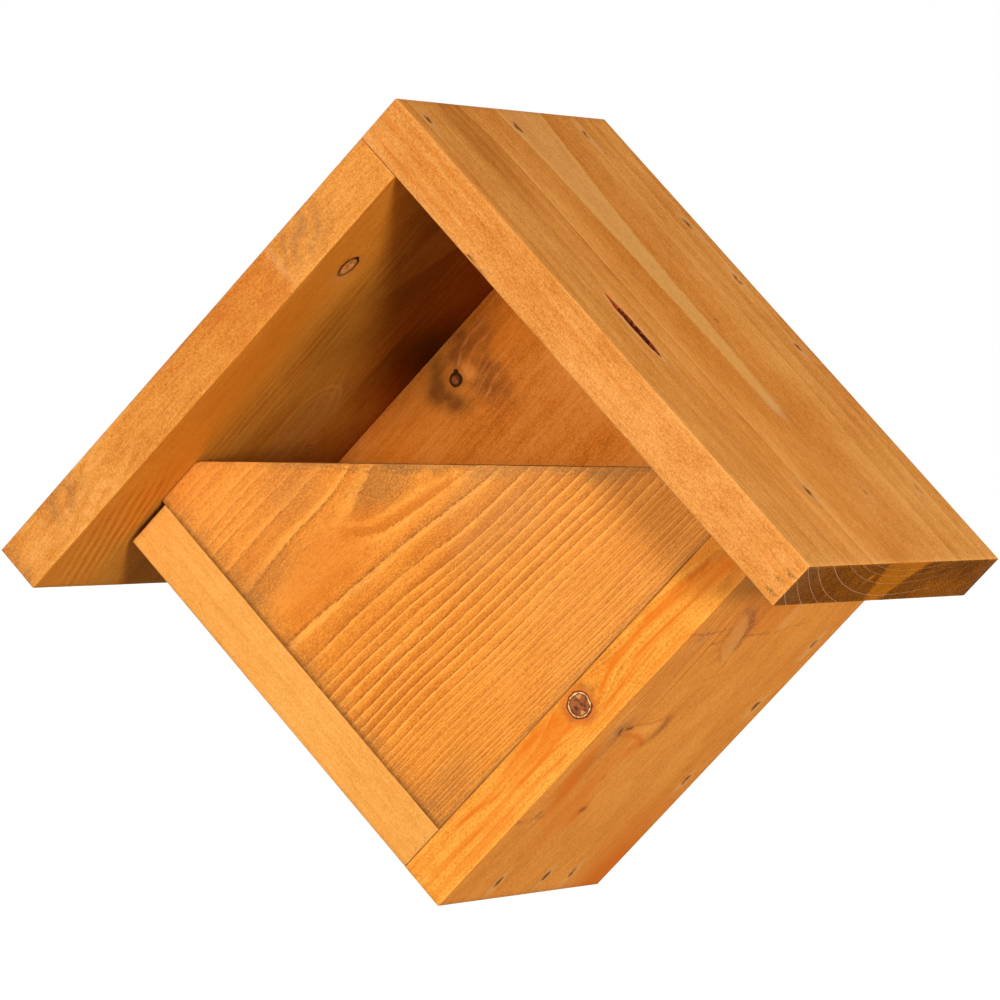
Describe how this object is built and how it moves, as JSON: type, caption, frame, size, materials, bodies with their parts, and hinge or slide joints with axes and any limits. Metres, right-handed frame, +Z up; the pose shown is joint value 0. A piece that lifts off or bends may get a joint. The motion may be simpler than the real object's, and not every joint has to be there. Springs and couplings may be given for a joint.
{
  "type": "robin nest box",
  "caption": "Open-fronted wooden nest box for robins, set on its corner as a diamond, with an overhanging ridged roof, a clipped front panel and a screw hole in its back for hanging on a wall.",
  "frame": {"origin": "middle of the screw hole in the back panel, on the wall plane", "axes": "+Z up to the ridge, +X to the right seen from the front, +Y into the wall; the open front faces -Y"},
  "size_m": [0.2998, 0.152, 0.2659],
  "materials": {
    "roof_timber": "semi-matt translucent woodstain over planed softwood",
    "side_timber": "semi-matt translucent woodstain over planed softwood",
    "front_timber": "semi-matt translucent woodstain over planed softwood",
    "back_timber": "semi-matt translucent woodstain over planed softwood",
    "brad_wire": "bright galvanised wire"
  },
  "bodies": {
    "root": {"roof_right": "roof_timber", "roof_left": "roof_timber", "side_right": "side_timber", "side_left": "side_timber", "front_panel": "front_timber", "back_panel": "back_timber", "ridge_brads": "brad_wire", "roof_right_back_brads": "brad_wire", "roof_left_back_brads": "brad_wire", "roof_right_side_brads": "brad_wire", "roof_left_side_brads": "brad_wire", "side_right_back_brads": "brad_wire", "side_left_back_brads": "brad_wire", "front_panel_right_brads": "brad_wire", "front_panel_left_brads": "brad_wire", "bottom_corner_brads": "brad_wire"}
  },
  "joints": []
}
